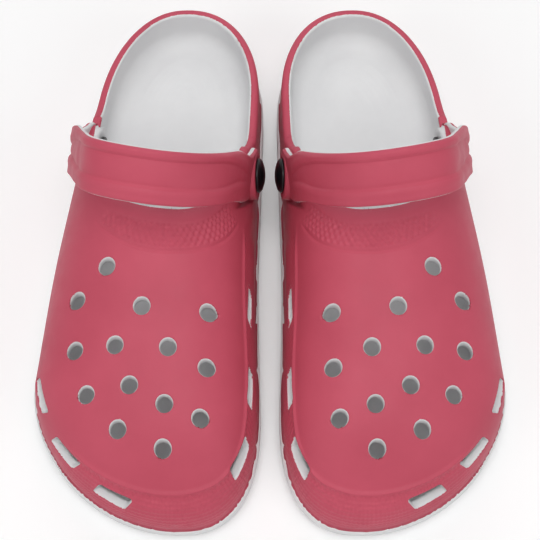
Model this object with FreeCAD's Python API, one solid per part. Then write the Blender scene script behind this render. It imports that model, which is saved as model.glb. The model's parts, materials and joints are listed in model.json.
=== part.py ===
import FreeCAD, Part
import math
import os
from FreeCAD import Vector

# A pair of moulded foam garden clogs standing side by side, heel straps swung forward.
# Each clog is drawn as a right clog with x = 0, y = 0 at the middle of its strap hinge line,
# +X towards the other clog (medial), +Y towards the heel, +Z up, soles on z = 0. All sizes in mm.

# ---- lengths along the clog, from the hinge line ----
hinge_to_heel = 101.0        # back end of the upper
hinge_to_seat = 45.0         # widest line of the heel
hinge_to_instep = 50.0       # instep line, in front of the hinge
hinge_to_ball = 109.0        # widest line of the forefoot
toe_length = 69.5            # ball line to the front end of the upper

# ---- spine of the upper: where its crown runs, left or right of the hinge middle ----
spine_at_toe = 6.4
spine_at_ball = 3.9
spine_at_instep = 1.9
spine_at_hinge = 0.9
spine_at_seat = 2.6
spine_at_heel = 5.9

# ---- widths of the upper at its base, from the spine ----
lateral_at_ball = 70.0
lateral_at_instep = 60.5
lateral_at_hinge = 49.3
lateral_at_seat = 42.8
lateral_at_heel = 38.0
medial_at_ball = 41.2
medial_at_instep = 42.0
medial_at_hinge = 44.2
medial_at_seat = 43.6
medial_at_heel = 42.0
lateral_toe_power = 1.9      # roundness of the outline: 2 is an ellipse, more is squarer
medial_toe_power = 2.6
heel_power = 2.2

# ---- heights of the crown line ----
toe_tip_height = 24.0
bumper_front_back = 2.3      # behind the tip
bumper_front_height = 29.9
bumper_back = 11.5           # behind the tip, where the toe bumper ends
bumper_height = 38.0
toe_dome_back = 34.0         # behind the tip
toe_dome_height = 53.0
ball_height = 65.5
instep_height = 85.5
hinge_crown = 107.0          # the crown is cut away behind the throat
heel_crown = 120.0
form_top = 100.0             # flat top of the uncut form
form_foot = 9.0              # the form starts this far below the top of the sole
form_heights = [30.0, 37.0, 44.0, 52.0, 60.0, 68.0, 76.0, 83.0, 89.0, 95.0]
crown_drop = 0.8             # the crown comes down this much for each mm the form is set in
section_power = 2.4          # squareness of the cross-section

# ---- sole ----
sole_toe_height = 14.0       # top of the sole at the toe tip
sole_slope = 0.036           # rise of the sole's top per mm towards the heel
sole_ledge = 1.6             # the sole stands out this far round the upper
sole_edge_radius = 4.0       # rounding of the bottom edge
toe_spring_length = 48.0     # the sole curves up over this length at the toe
toe_spring_height = 5.5
heel_spring_length = 26.0
heel_spring_height = 2.5
footbed_at_ball = 20.5
footbed_slope = 0.042
footbed_corner = 9.0         # rounding where the footbed meets the walls
footbed_corner_rises = [(0.0, 1.0), (1.6, 0.42), (4.6, 0.1), (9.0, 0.0)]   # height, share of it left

# ---- layers ----
film = 0.8                   # coloured layer on the upper
wall = 4.0                   # foam wall under it
white_edge = 1.1             # foam left showing at the inner edge of the rim

# ---- collar, seen from the side ----
throat_from_hinge = 43.0     # front lip of the foot opening
throat_height = 87.0
lip_lean_run = 16.0          # the lip leans forward along this run, and rises by lip_lean_rise
lip_lean_rise = 7.5
throat_side_from_hinge = 28.0
throat_side_height = 80.9
ear_front_from_hinge = 12.9
ear_front_height = 74.6
ear_height = 12.4            # top of the ear above the hinge
ear_shoulder_back = 9.9      # behind the hinge line
ear_shoulder_height = 68.2
ear_back = 16.0              # the ear's back edge at hinge height
rim_dip_start = 27.0         # behind the hinge line
rim_dip_height = 52.1
rim_low_back = 41.0
rim_height = 50.5            # lowest part of the rim
rim_side_back = 75.8
rim_side_height = 51.1
rim_heel_height = 53.0

# ---- strap hinge ----
hinge_height = 60.0
hinge_yaw = -10.3            # the hinge line turns towards the toe on the medial side, degrees
seat_face = 40.4             # outer face of each ear, from the hinge middle
ear_wall = 3.6               # foam between strap seat and stud seat
seat_gap = 0.4               # strap lobe to ear
lobe_radius = 13.5
seat_margin = 1.1            # the strap's seat is wider than the strap by this, all round
seat_side_length = 93.0      # the seat's side walls follow the strap this far
seat_arch_share = 0.62       # share of the strap's half arch that the seat follows
stud_seat_radius = 11.5

# ---- strap ----
strap_reach = 88.0           # hinge line to the middle of the band
strap_lean = 36.5            # forward of vertical, degrees
strap_back = 66.0            # behind vertical when swung right back, degrees
strap_thickness = 3.6
strap_film = 0.7
strap_band_width = 23.0
strap_arch_power = 2.3
strap_neck = 35.1            # hinge line to where the lobe has narrowed to the band
lobe_turn = 20.0             # the lobe stays round this far past its middle, degrees
boss_radius = 12.3
medial_boss_cant = 9.0       # the rivet bosses face a little upwards, degrees
medial_boss_clock = 80.0     # direction of that cant, from the strap's length towards the heel side
lateral_boss_cant = 9.0
lateral_boss_clock = 37.0

# ---- rivets ----
cap_radius = 8.7
cap_dome = 3.6
cap_edge = 1.5
cap_rounding = 1.3           # rounding where the edge meets the dome
barrel_radius = 3.6
barrel_fit = 0.08
bore_radius = 1.9
bore_depth = 6.0
spigot_fit = 0.05
stud_radius = 7.2
stud_thickness = 1.8
stud_edge = 0.7              # rounding of the stud's edge
spigot_short = 1.0           # the spigot ends this far before the bore does
stud_gap = 0.3
stud_margin = 0.8            # the stud's seat is wider than the stud by this, all round

# ---- openings ----
vent_radius = 3.85
vent_clear_of_footbed = 12.0
film_opening_margin = 0.25   # film openings are larger than the foam's by this
# right-clog vents: sideways from the spine, and back from the ball line
vents = [
    (-28.4, 42.9), (-43.6, 29.6), (-11.9, 23.7), (19.3, 21.8),
    (-25.1, 6.7), (-44.9, 6.2), (0.0, 5.2), (17.8, -3.3),
    (-18.6, -11.5), (-39.5, -14.5), (-2.3, -20.1), (14.2, -26.1),
    (-24.6, -30.7), (-3.7, -39.3),
]
slot_length = 17.5
slot_height = 7.0
slot_slant = 2.6             # the ends lean by this
slot_depth = 16.0
slot_pitch_down = 14.0       # degrees
# side, back from the ball line, centre height
slots = [
    ("medial", 35.4, 43.0), ("medial", -5.6, 38.5), ("medial", -39.8, 35.0),
    ("lateral", -9.0, 37.0), ("lateral", -37.0, 34.5), ("lateral", -57.6, 31.0),
]

# ---- pair ----
half_gap = 3.8               # from the plane between the clogs to each sole

# ---- derived places ----
y_toe = -hinge_to_ball - toe_length
y_ball = -hinge_to_ball
y_instep = -hinge_to_instep
y_seat = hinge_to_seat
y_heel = hinge_to_heel
contour_steps = 18           # points from toe to heel on each side of a section
reach_out = 150.0            # cutting tools reach this far past the clog
reach_side = 8.0             # and this far past a face they start from


def smooth_through(points):
    """A smooth function through (place, value) points, level beyond both ends."""
    xs = [p[0] for p in points]
    ys = [p[1] for p in points]
    gaps = [(ys[i + 1] - ys[i]) / (xs[i + 1] - xs[i]) for i in range(len(xs) - 1)]
    slopes = [gaps[0]]
    for i in range(1, len(gaps)):
        before = xs[i] - xs[i - 1]
        after = xs[i + 1] - xs[i]
        slopes.append((gaps[i - 1] * after + gaps[i] * before) / (before + after))
    slopes.append(gaps[-1])

    def value(x):
        if x <= xs[0]:
            return ys[0]
        if x >= xs[-1]:
            return ys[-1]
        i = max(k for k in range(len(xs) - 1) if xs[k] <= x)
        span = xs[i + 1] - xs[i]
        t = (x - xs[i]) / span
        start = ys[i] * (1 + 2 * t) * (1 - t) ** 2 + slopes[i] * span * t * (1 - t) ** 2
        end = ys[i + 1] * t * t * (3 - 2 * t) + slopes[i + 1] * span * t * t * (t - 1)
        return start + end

    return value


spine = smooth_through([
    (y_toe, spine_at_toe), (y_ball, spine_at_ball), (y_instep, spine_at_instep),
    (0.0, spine_at_hinge), (y_seat, spine_at_seat), (y_heel, spine_at_heel)])
lateral_width = smooth_through([
    (y_ball, lateral_at_ball), (y_instep, lateral_at_instep), (0.0, lateral_at_hinge),
    (y_seat, lateral_at_seat), (y_heel, lateral_at_heel)])
medial_width = smooth_through([
    (y_ball, medial_at_ball), (y_instep, medial_at_instep), (0.0, medial_at_hinge),
    (y_seat, medial_at_seat), (y_heel, medial_at_heel)])
crown_line = smooth_through([
    (y_toe, toe_tip_height), (y_toe + bumper_front_back, bumper_front_height),
    (y_toe + bumper_back, bumper_height), (y_toe + toe_dome_back, toe_dome_height),
    (y_ball, ball_height), (y_instep, instep_height), (0.0, hinge_crown), (y_seat, heel_crown)])


def sole_top(y):
    return sole_toe_height + sole_slope * (y - y_toe)


def footbed(y):
    return footbed_at_ball + footbed_slope * (y - y_ball)


def crown(y, inset):
    """Crown height of the form set in by inset."""
    return crown_line(y - inset) - crown_drop * inset


def half_width(side, y, inset):
    """Distance from the spine to the base outline set in by inset."""
    width = lateral_width(y) if side == "lateral" else medial_width(y)
    toe_power = lateral_toe_power if side == "lateral" else medial_toe_power
    left = 1.0
    if y < y_ball:
        run = (y_ball - y) / (y_ball - y_toe - inset)
        left = max(0.0, 1.0 - run ** toe_power) ** (1.0 / toe_power)
    if y > y_seat:
        run = (y - y_seat) / (y_heel - inset - y_seat)
        left = max(0.0, 1.0 - run ** heel_power) ** (1.0 / heel_power)
    return (width - inset) * left


def narrowing(y, z, inset):
    """Share of the base width left at height z."""
    base = sole_top(y)
    if z <= base:
        return 1.0
    rise = (z - base) / max(crown(y, inset) - base, 1e-6)
    return max(0.0, 1.0 - rise ** section_power) ** (1.0 / section_power)


def front_end(level, slope, inset):
    """Station where the crown line comes up through the plane z = level + slope * y."""
    low = y_toe + inset
    high = y_seat
    if crown(low, inset) >= level + slope * low:
        return low
    for _ in range(50):
        middle = (low + high) / 2
        if crown(middle, inset) < level + slope * middle:
            low = middle
        else:
            high = middle
    return high


def contour(level, slope, inset):
    """Closed outline of the form where the plane z = level + slope * y cuts it."""
    front = front_end(level, slope, inset)
    back = y_heel - inset
    stations = []
    for i in range(contour_steps + 1):
        share = (1 - math.cos(math.pi * i / contour_steps)) / 2
        stations.append(front + (back - front) * share)
    lateral = []
    medial = []
    for y in stations[1:-1]:
        z = level + slope * y
        share = narrowing(y, z, inset)
        lateral.append(Vector(spine(y) - half_width("lateral", y, inset) * share, y, z))
        medial.append(Vector(spine(y) + half_width("medial", y, inset) * share, y, z))
    tip = Vector(spine(front), front, level + slope * front)
    tail = Vector(spine(back), back, level + slope * back)
    return [tail] + medial[::-1] + [tip] + lateral


def closed_wire(points):
    outline = Part.BSplineCurve()
    steps = [i / len(points) for i in range(len(points) + 1)]
    outline.interpolate(Points=points, PeriodicFlag=True, Parameters=steps)
    return Part.Wire([outline.toShape()])


def form(inset):
    """The closed form of the upper, from inside the sole up to form_top."""
    sole_level = sole_top(0.0)
    levels = [(sole_level - form_foot, sole_slope), (sole_level, sole_slope)]
    for level in [(sole_level + form_heights[0]) / 2] + form_heights + [form_top]:
        flat = max(0.0, 1.0 - (level - form_heights[0]) / form_heights[0])
        levels.append((level, sole_slope * min(flat, 1.0)))
    wires = [closed_wire(contour(level, slope, inset)) for level, slope in levels]
    return Part.makeLoft(wires, True, False)


def cavity():
    """The room for the foot: the form set in by film and wall, with a rounded footbed."""
    inset = film + wall
    bed = footbed(0.0)
    levels = [(bed + rise, share) for rise, share in footbed_corner_rises]
    corner_top = levels[-1][0]
    heights = [height for height in form_heights if height > corner_top + 2.0]
    levels += [(height, 0.0) for height in heights + [form_top + 2.0]]
    wires = []
    for level, corner in levels:
        flat = max(0.0, 1.0 - (level - bed) / (heights[1] - bed))
        wires.append(closed_wire(contour(level, footbed_slope * flat, inset + footbed_corner * corner)))
    return Part.makeLoft(wires, True, False)



def across_hinge(profile):
    """Extrude a closed side profile of (back from the hinge, height) points along the hinge line."""
    solid = Part.Face(profile).extrude(Vector(2 * reach_out, 0, 0))
    solid.translate(Vector(-reach_out, 0, 0))
    solid.rotate(Vector(0, 0, 0), Vector(0, 0, 1), hinge_yaw)
    return solid


def sole_block():
    wires = []
    for turn in (0.0, math.pi / 4, math.pi / 2):
        level = sole_edge_radius * (1 - math.cos(turn))
        inset = sole_edge_radius * (1 - math.sin(turn))
        wires.append(closed_wire(contour(level, 0.0, inset - sole_ledge)))
    wires.append(closed_wire(contour(sole_top(0.0), sole_slope, -sole_ledge)))
    block = Part.makeLoft(wires, True, False)
    front = y_toe - 2 * sole_ledge
    back = y_heel + 2 * sole_ledge
    toe_lift = Vector(0, front, toe_spring_height)
    toe_flat = Vector(0, front + toe_spring_length, 0)
    heel_flat = Vector(0, back - heel_spring_length, 0)
    heel_lift = Vector(0, back, heel_spring_height)
    rise = Part.BezierCurve()
    rise.setPoles([toe_lift, Vector(0, front + 0.5 * toe_spring_length, 0), toe_flat])
    drop = Part.BezierCurve()
    drop.setPoles([heel_flat, Vector(0, back - 0.5 * heel_spring_length, 0), heel_lift])
    top = form_top
    edges = [rise.toShape(), Part.makeLine(toe_flat, heel_flat), drop.toShape(),
             Part.makeLine(heel_lift, Vector(0, back, top)),
             Part.makeLine(Vector(0, back, top), Vector(0, front, top)),
             Part.makeLine(Vector(0, front, top), toe_lift)]
    side = Part.Face(Part.Wire(edges)).extrude(Vector(2 * reach_out, 0, 0))
    side.translate(Vector(-reach_out, 0, 0))
    return block.common(side)


def above_collar(lowered):
    """Everything above the collar line, the line lowered by the given amount."""
    line = [
        (-throat_from_hinge - lip_lean_run, throat_height + lip_lean_rise),
        (-throat_from_hinge, throat_height),
        (-throat_side_from_hinge, throat_side_height),
        (-ear_front_from_hinge, ear_front_height),
        (0.0, hinge_height + ear_height),
        (ear_shoulder_back, ear_shoulder_height),
        (ear_back, hinge_height),
        (rim_dip_start, rim_dip_height),
        (rim_low_back, rim_height),
        (rim_side_back, rim_side_height),
        (hinge_to_heel + 2 * reach_side, rim_heel_height),
    ]
    points = [Vector(0, back, height - lowered) for back, height in line]
    curve = Part.BSplineCurve()
    curve.interpolate(points)
    ceiling = form_top + reach_out
    front_up = Vector(0, points[0].y, ceiling)
    back_up = Vector(0, points[-1].y, ceiling)
    edges = [curve.toShape(), Part.makeLine(points[-1], back_up), Part.makeLine(back_up, front_up),
             Part.makeLine(front_up, points[0])]
    return across_hinge(Part.Wire(edges))


def hinge_rod(radius, start, end):
    """A cylinder on the hinge line, from start to end along it."""
    rod = Part.makeCylinder(radius, end - start, Vector(start, 0, 0), Vector(1, 0, 0))
    return to_hinge(rod)


def to_hinge(shape):
    """Place a shape drawn with x along the hinge line and the hinge middle at zero."""
    placed = shape.copy()
    placed.rotate(Vector(0, 0, 0), Vector(0, 0, 1), hinge_yaw)
    placed.translate(Vector(0, 0, hinge_height))
    return placed


def both_ears(radius, start, end):
    return [hinge_rod(radius, start, end), hinge_rod(radius, -end, -start)]


def barrel_hole():
    return hinge_rod(barrel_radius + barrel_fit, -seat_face - reach_side, seat_face + reach_side)


def arch_point(angle, offset):
    """Point of the strap's arch, set out from its inner face: along the hinge line and away from it."""
    half = seat_face + seat_gap + offset
    height = strap_reach - strap_thickness / 2 + offset - lobe_radius
    across = math.copysign(abs(math.cos(angle)) ** (2 / strap_arch_power), math.cos(angle))
    return Vector(half * across, 0, lobe_radius + height * math.sin(angle) ** (2 / strap_arch_power))


def seat_side_outline(radius):
    """Side view of the room that the strap needs, from its resting lean to fully back."""
    forward = math.radians(strap_lean)
    backward = math.radians(strap_back)
    front_foot = Vector(0, -radius * math.cos(forward), -radius * math.sin(forward))
    front_end = front_foot + Vector(0, -math.sin(forward), math.cos(forward)) * seat_side_length
    back_foot = Vector(0, radius * math.cos(backward), -radius * math.sin(backward))
    back_end = back_foot + Vector(0, math.sin(backward), math.cos(backward)) * seat_side_length
    top = Vector(0, 0, 1.3 * seat_side_length)
    around = Part.Arc(back_foot, Vector(0, 0, -radius), front_foot).toShape()
    corners = [front_foot, front_end, top, back_end, back_foot]
    sides = [Part.makeLine(a, b) for a, b in zip(corners, corners[1:])]
    prism = Part.Face(Part.Wire(sides + [around])).extrude(Vector(2 * reach_out, 0, 0))
    prism.translate(Vector(-reach_out, 0, 0))
    return prism


def strap_room(lowered):
    """Room swept by the strap beside the ears, its walls set in towards the foot by lowered."""
    steps = 9
    turn = seat_arch_share * math.pi / 2
    points = [arch_point(turn * i / steps, -seat_gap - lowered) for i in range(steps + 1)]
    curve = Part.BSplineCurve()
    curve.interpolate(Points=points, InitialTangent=Vector(0, 0, 1), FinalTangent=points[-1] - points[-2])
    start = Vector(points[0].x, 0, 0)
    outer = Vector(2 * seat_face + reach_side, 0, 0)
    rim = Vector(outer.x, 0, points[-1].z)
    edges = [Part.makeLine(start, points[0]), curve.toShape(), Part.makeLine(points[-1], rim),
             Part.makeLine(rim, outer), Part.makeLine(outer, start)]
    swept = Part.Face(Part.Wire(edges)).revolve(Vector(0, 0, 0), Vector(1, 0, 0), 360)
    outline = seat_side_outline(lobe_radius + seat_margin + lowered)
    medial = swept.common(outline)
    lateral = swept.mirror(Vector(0, 0, 0), Vector(1, 0, 0)).common(outline)
    return [to_hinge(medial), to_hinge(lateral)]


def vent_cutters(margin):
    cutters = []
    for aside, behind in vents:
        y = y_ball + behind
        foot = Vector(spine(y) + aside, y, footbed(y) + vent_clear_of_footbed)
        cutters.append(Part.makeCylinder(vent_radius + margin, form_top, foot))
    return cutters


def slot_cutters(margin):
    cutters = []
    for side, behind, height in slots:
        sign = -1.0 if side == "lateral" else 1.0
        y = y_ball + behind

        def edge(at):
            share = narrowing(at, height, 0.0)
            return Vector(spine(at) + sign * half_width(side, at, 0.0) * share, at, height)

        along = edge(y + 1.0) - edge(y - 1.0)
        along.normalize()
        length = slot_length / 2 + margin
        rise = slot_height / 2 + margin
        corners = [(-length - slot_slant / 2, -rise), (length - slot_slant / 2, -rise),
                   (length + slot_slant / 2, rise), (-length + slot_slant / 2, rise)]
        outline = Part.makePolygon([Vector(a, 0, b) for a, b in corners + corners[:1]])
        cutter = Part.Face(outline).extrude(Vector(0, slot_depth + reach_side, 0))
        cutter.translate(Vector(0, -reach_side, 0))
        cutter.rotate(Vector(0, 0, 0), Vector(1, 0, 0), -slot_pitch_down)
        turn = math.degrees(math.atan2(along.y, along.x))
        inward = Vector(-along.y, along.x, 0)
        if inward.x * sign > 0:
            turn += 180.0
        cutter.rotate(Vector(0, 0, 0), Vector(0, 0, 1), turn)
        cutter.translate(edge(y))
        cutters.append(cutter)
    return cutters


def sole_plane_block():
    """Everything below the top of the sole."""
    front = y_toe - reach_side
    back = y_heel + reach_side
    corners = [(front, -reach_side), (back, -reach_side), (back, sole_top(back)), (front, sole_top(front))]
    outline = Part.makePolygon([Vector(-reach_out, a, b) for a, b in corners + corners[:1]])
    return Part.Face(outline).extrude(Vector(2 * reach_out, 0, 0))


def flat_faces_first(shape):
    """The same solid with its flat faces, widest first, at the head of its list of faces."""
    faces = sorted(shape.Faces, key=lambda face: (not isinstance(face.Surface, Part.Plane), -face.Area))
    return Part.Solid(Part.Shell(faces))


def make_shell():
    upper = form(film).cut(above_collar(film))
    bulk = sole_block().fuse(upper)
    room = cavity()
    inner_face = seat_face - film - ear_wall
    for boss in both_ears(stud_seat_radius, inner_face, 2 * seat_face):
        room = room.cut(boss)
    body = bulk.cut(room)
    cutters = strap_room(film)
    cutters += both_ears(stud_radius + stud_margin, inner_face - 2 * stud_seat_radius, inner_face)
    cutters.append(barrel_hole())
    cutters += vent_cutters(0.0) + slot_cutters(0.0)
    for cutter in cutters:
        body = body.cut(cutter)
    return flat_faces_first(body)


def make_upper_skin():
    collar = above_collar(0.0)
    outer = form(0.0).cut(collar).cut(sole_plane_block())
    core = form(film).cut(above_collar(film))
    layer = outer.cut(core).cut(form(film + wall - white_edge))
    for lined in strap_room(film):
        layer = layer.fuse(outer.common(lined))
    for cutter in strap_room(0.0):
        layer = layer.cut(cutter)
    layer = layer.cut(barrel_hole())
    for cutter in vent_cutters(film_opening_margin) + slot_cutters(film_opening_margin):
        layer = layer.cut(cutter)
    return layer


def arch(offset):
    """Half-open arch of the strap, set out from its inner face: x along the hinge, z along the strap."""
    steps = 14
    points = [arch_point(math.pi * i / steps, offset) for i in range(steps + 1)]
    curve = Part.BSplineCurve()
    curve.interpolate(Points=points, InitialTangent=Vector(0, 0, 1), FinalTangent=Vector(0, 0, -1))
    foot = -lobe_radius - reach_side
    right = Part.makeLine(Vector(points[0].x, 0, foot), points[0])
    left = Part.makeLine(points[-1], Vector(points[-1].x, 0, foot))
    return [right, curve.toShape(), left]


def arch_layer(inner, outer):
    """The layer of the strap between two offsets, before its side outline is cut."""
    near = arch(inner)
    far = arch(outer)
    right = Part.makeLine(far[0].Vertexes[0].Point, near[0].Vertexes[0].Point)
    left = Part.makeLine(near[2].Vertexes[-1].Point, far[2].Vertexes[-1].Point)
    wire = Part.Wire([right] + near + [left] + far[::-1])
    layer = Part.Face(wire).extrude(Vector(0, 4 * lobe_radius, 0))
    layer.translate(Vector(0, -2 * lobe_radius, 0))
    return layer


def strap_side_outline():
    """Side view of the strap: round lobes that narrow into the band."""
    half = strap_band_width / 2
    top = strap_reach + reach_side
    turn = math.radians(lobe_turn)
    tangent = Vector(0, lobe_radius * math.cos(turn), lobe_radius * math.sin(turn))
    bottom = Vector(0, 0, -lobe_radius)
    arc = Part.Arc(Vector(0, -tangent.y, tangent.z), bottom, tangent).toShape()
    ends = []
    for sign in (1.0, -1.0):
        blend = Part.BezierCurve()
        blend.setPoles([Vector(0, sign * tangent.y, tangent.z), Vector(0, sign * half, 0.55 * strap_neck),
                        Vector(0, sign * half, 0.75 * strap_neck), Vector(0, sign * half, strap_neck)])
        side = Part.makeLine(Vector(0, sign * half, strap_neck), Vector(0, sign * half, top))
        ends.append([blend.toShape(), side])
    cap = Part.makeLine(Vector(0, half, top), Vector(0, -half, top))
    wire = Part.Wire([arc] + ends[0] + [cap] + ends[1][::-1])
    prism = Part.Face(wire).extrude(Vector(4 * seat_face, 0, 0))
    prism.translate(Vector(-2 * seat_face, 0, 0))
    return prism


def cant_turns(sign):
    """Rotations that tip a boss or cap on the +X (medial) or -X (lateral) lobe."""
    cant = medial_boss_cant if sign > 0 else lateral_boss_cant
    clock = math.radians(medial_boss_clock if sign > 0 else lateral_boss_clock)
    lean = Vector(0, math.sin(clock), math.cos(clock))
    axis = Vector(sign, 0, 0).cross(lean)
    return axis, cant


def boss_face():
    """Distance from the hinge middle to the face of each rivet boss, on the hinge line."""
    cant = math.radians(max(medial_boss_cant, lateral_boss_cant))
    return seat_face + seat_gap + strap_thickness + boss_radius * math.tan(cant)


def strap_boss(sign):
    """A round boss on the lobe whose face is canted."""
    face = boss_face()
    start = seat_face + seat_gap + strap_thickness - strap_film / 2
    length = 2 * boss_radius
    boss = Part.makeCylinder(boss_radius, length, Vector(sign * start, 0, 0), Vector(sign, 0, 0))
    axis, cant = cant_turns(sign)
    trim = Part.makeBox(2 * length, 2 * length, 2 * length, Vector(0, -length, -length))
    if sign < 0:
        trim.translate(Vector(-2 * length, 0, 0))
    trim.rotate(Vector(0, 0, 0), axis, cant)
    trim.translate(Vector(sign * face, 0, 0))
    return boss.cut(trim)


def lay_strap(shape):
    """Lean a shape drawn in the strap's own frame forward and set it on the hinge."""
    leaning = shape.copy()
    leaning.rotate(Vector(0, 0, 0), Vector(1, 0, 0), strap_lean)
    return to_hinge(leaning)


def make_strap():
    outline = strap_side_outline()
    inner_part = strap_thickness - strap_film
    core = arch_layer(0.0, inner_part).common(outline)
    skin = arch_layer(inner_part, strap_thickness).common(outline)
    start = Vector(-2 * seat_face, 0, 0)
    hole = Part.makeCylinder(barrel_radius + barrel_fit, 4 * seat_face, start, Vector(1, 0, 0))
    for sign in (1.0, -1.0):
        skin = skin.fuse(strap_boss(sign))
    return lay_strap(core.cut(hole)), lay_strap(skin.cut(hole))


def make_cap(sign):
    """Domed head with its hollow barrel."""
    crest = cap_dome - cap_edge
    ball_radius = (cap_radius ** 2 + crest ** 2) / (2 * crest)
    ball = Part.makeSphere(ball_radius)
    ball.rotate(Vector(0, 0, 0), Vector(0, 0, 1), 180.0)
    ball.translate(Vector(cap_dome - ball_radius, 0, 0))
    head = Part.makeCylinder(cap_radius, cap_dome, Vector(0, 0, 0), Vector(1, 0, 0)).common(ball)
    shoulder = [e for e in head.Edges if e.BoundBox.XLength < 0.01 and abs(e.BoundBox.XMin - cap_edge) < 0.01]
    head = head.makeFillet(cap_rounding, shoulder)
    if sign < 0:
        head = head.mirror(Vector(0, 0, 0), Vector(1, 0, 0))
    axis, cant = cant_turns(sign)
    head.rotate(Vector(0, 0, 0), axis, cant)
    head.translate(Vector(sign * boss_face(), 0, 0))
    tip = seat_face - film - ear_wall - stud_gap
    direction = Vector(sign, 0, 0)
    length = boss_face() + cap_edge / 2 - tip
    barrel = Part.makeCylinder(barrel_radius, length, Vector(sign * tip, 0, 0), direction)
    bore = Part.makeCylinder(bore_radius, bore_depth, Vector(sign * tip, 0, 0), direction)
    return lay_strap(head.fuse(barrel).cut(bore))


def make_stud(sign):
    """Flat head inside the shoe with the spigot that snaps into the barrel."""
    tip = seat_face - film - ear_wall - stud_gap
    direction = Vector(sign, 0, 0)
    start = Vector(sign * (tip - stud_thickness), 0, 0)
    head = Part.makeCylinder(stud_radius, stud_thickness, start, direction)
    edge = [e for e in head.Edges if abs(abs(e.BoundBox.XMin) - (tip - stud_thickness)) < 0.01
            and abs(e.BoundBox.XLength) < 0.01]
    head = head.makeFillet(stud_edge, edge)
    length = stud_thickness + bore_depth - spigot_short
    spigot = Part.makeCylinder(bore_radius - spigot_fit, length, start, direction)
    return lay_strap(head.fuse(spigot))


def make_clog():
    """The pieces of the right clog, in its own frame."""
    strap_core, strap_skin = make_strap()
    return {
        "shell": make_shell(),
        "upper_skin": make_upper_skin(),
        "heel_strap": strap_core,
        "strap_skin": strap_skin,
        "medial_rivet_cap": make_cap(1.0),
        "lateral_rivet_cap": make_cap(-1.0),
        "medial_rivet_stud": make_stud(1.0),
        "lateral_rivet_stud": make_stud(-1.0),
    }


def place_and_export(pieces):
    """Stand the clogs side by side about x = 0 and write one STEP for each piece."""
    os.makedirs("parts", exist_ok=True)
    edge = max(spine(y) + half_width("medial", y, -sole_ledge) for y in range(int(y_toe), int(y_heel)))
    middle = (y_toe + y_heel) / 2
    for name, piece in pieces.items():
        right = piece.copy()
        right.translate(Vector(-edge - half_gap, -middle, 0))
        left = right.mirror(Vector(0, 0, 0), Vector(1, 0, 0))
        for side, shape in (("right", right), ("left", left)):
            shape.exportStep("parts/" + side + "_" + name + ".step")
            print(side, name, len(shape.Solids), shape.isValid(), round(shape.Volume), shape.BoundBox)
    hinge = Vector(-edge - half_gap, -middle, hinge_height)
    print("hinge middle", hinge)


place_and_export(make_clog())
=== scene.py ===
import bpy
import json
import math
import numpy as np
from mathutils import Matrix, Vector
from mathutils.bvhtree import BVHTree


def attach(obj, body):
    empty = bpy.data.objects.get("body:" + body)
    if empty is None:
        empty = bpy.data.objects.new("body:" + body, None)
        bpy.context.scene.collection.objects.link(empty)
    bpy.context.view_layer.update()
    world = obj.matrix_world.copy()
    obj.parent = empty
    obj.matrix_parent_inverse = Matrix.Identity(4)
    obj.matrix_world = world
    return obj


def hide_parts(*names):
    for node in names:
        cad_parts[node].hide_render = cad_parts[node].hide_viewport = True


# A pair of foam garden clogs. Sizes are in millimetres in the right clog's own frame: x = 0, y = 0 at
# the middle of its strap hinge line, +X towards the other clog (medial), +Y to the heel, +Z up.
# Every surface of a clog is found as the zero of a distance field, so that edges can be rounded.

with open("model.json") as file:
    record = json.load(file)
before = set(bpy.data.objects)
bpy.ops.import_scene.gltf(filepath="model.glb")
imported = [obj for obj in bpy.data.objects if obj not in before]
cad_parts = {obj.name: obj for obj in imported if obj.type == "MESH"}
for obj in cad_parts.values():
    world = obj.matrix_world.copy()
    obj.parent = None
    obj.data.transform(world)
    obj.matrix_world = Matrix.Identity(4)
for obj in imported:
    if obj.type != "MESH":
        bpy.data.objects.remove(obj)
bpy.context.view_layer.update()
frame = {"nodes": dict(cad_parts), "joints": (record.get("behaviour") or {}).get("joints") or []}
MM = 0.001

# ---- lengths, widths and heights of the upper, as in the design ----
Y_TOE, Y_BALL, Y_INSTEP, Y_SEAT, Y_HEEL = -178.5, -109.0, -50.0, 45.0, 101.0
LATERAL_TOE_POWER, MEDIAL_TOE_POWER, HEEL_POWER, SECTION_POWER = 1.9, 2.6, 2.2, 2.4
FILM, WALL, WHITE_EDGE = 0.8, 4.0, 1.1
CROWN_DROP = 0.8
SOLE_TOE_HEIGHT, SOLE_SLOPE, SOLE_LEDGE = 14.0, 0.036, 1.6
TOE_SPRING_LENGTH, TOE_SPRING_HEIGHT = 48.0, 5.5
HEEL_SPRING_LENGTH, HEEL_SPRING_HEIGHT = 26.0, 2.5
FOOTBED_AT_BALL, FOOTBED_SLOPE, FOOTBED_CORNER = 20.5, 0.042, 9.0

# ---- hinge, seat and strap ----
HINGE_HEIGHT = 60.0
HINGE_YAW = math.radians(-10.3)
SEAT_FACE, EAR_WALL, SEAT_GAP, SEAT_MARGIN = 40.4, 3.6, 0.4, 1.1
INNER_FACE = SEAT_FACE - FILM - EAR_WALL
STUD_SEAT_RADIUS, STUD_CLEAR_RADIUS, BARREL_HOLE = 11.5, 8.0, 3.68
SEAT_ARCH_END, SEAT_CORNER = 0.97, 1.0
LOBE_RADIUS, STRAP_REACH = 13.5, 88.0
STRAP_LEAN, STRAP_BACK = math.radians(36.5), math.radians(66.0)
STRAP_THICKNESS, STRAP_FILM, BAND_WIDTH, ARCH_POWER = 3.6, 0.7, 23.0, 2.3
STRAP_NECK, LOBE_TURN, BAND_SHIFT = 35.1, math.radians(20.0), 4.2
BAND_WIDENING, LATERAL_LEAN_IN = 1.0, 4.0
BOSS_RADIUS, BOSS_CANT = 12.3, math.radians(9.0)
BOSS_CLOCK = {1: math.radians(80.0), -1: math.radians(37.0)}

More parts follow.
